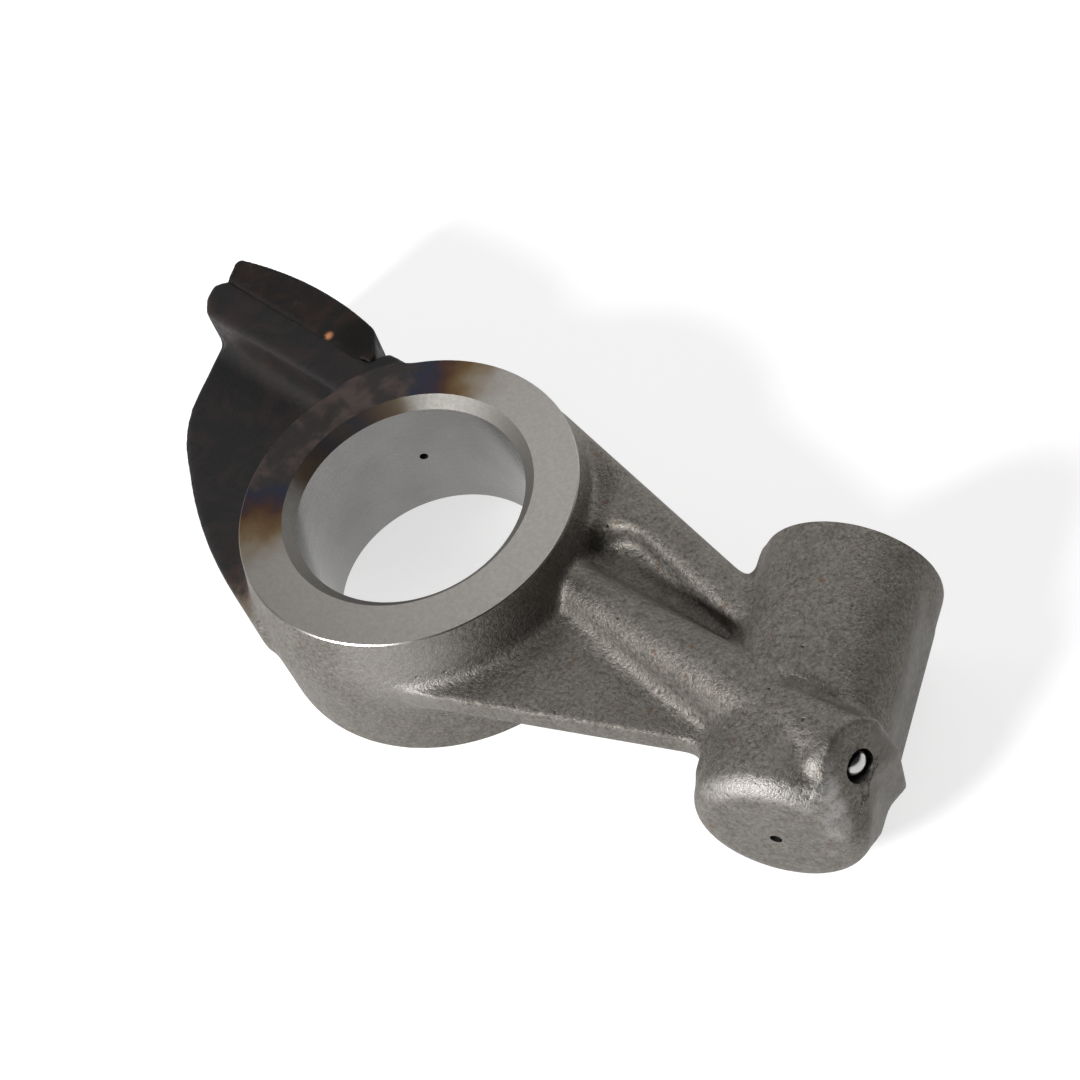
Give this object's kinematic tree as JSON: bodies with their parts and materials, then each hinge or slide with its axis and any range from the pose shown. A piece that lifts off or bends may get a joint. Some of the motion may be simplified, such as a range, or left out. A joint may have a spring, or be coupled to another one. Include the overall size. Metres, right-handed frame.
{
  "type": "rocker arm",
  "caption": "Cast steel overhead-cam rocker arm with a shaft bore in its hub, a brazed slipper pad for the cam and a blind barrel for a hydraulic lash adjuster.",
  "frame": {"origin": "on the axis of the shaft bore, in the parting plane of the casting, 1.2 mm above the middle of the hub's length", "axes": "+Z along the shaft bore towards the front face of the hub; +X from the shaft bore towards the adjuster barrel; +Y out of the barrel's mouth, towards the cam side"},
  "size_m": [0.0845, 0.0529, 0.0186],
  "materials": {
    "casting": "shot-blasted cast skin, with turned hub faces, a ground bore and heat tint round the pad arm",
    "pad": "dark furnace scale over hardened steel",
    "ball": "polished"
  },
  "bodies": {
    "root": {"rocker_casting": "casting", "slipper_pad": "pad", "gallery_ball": "ball"}
  },
  "joints": []
}
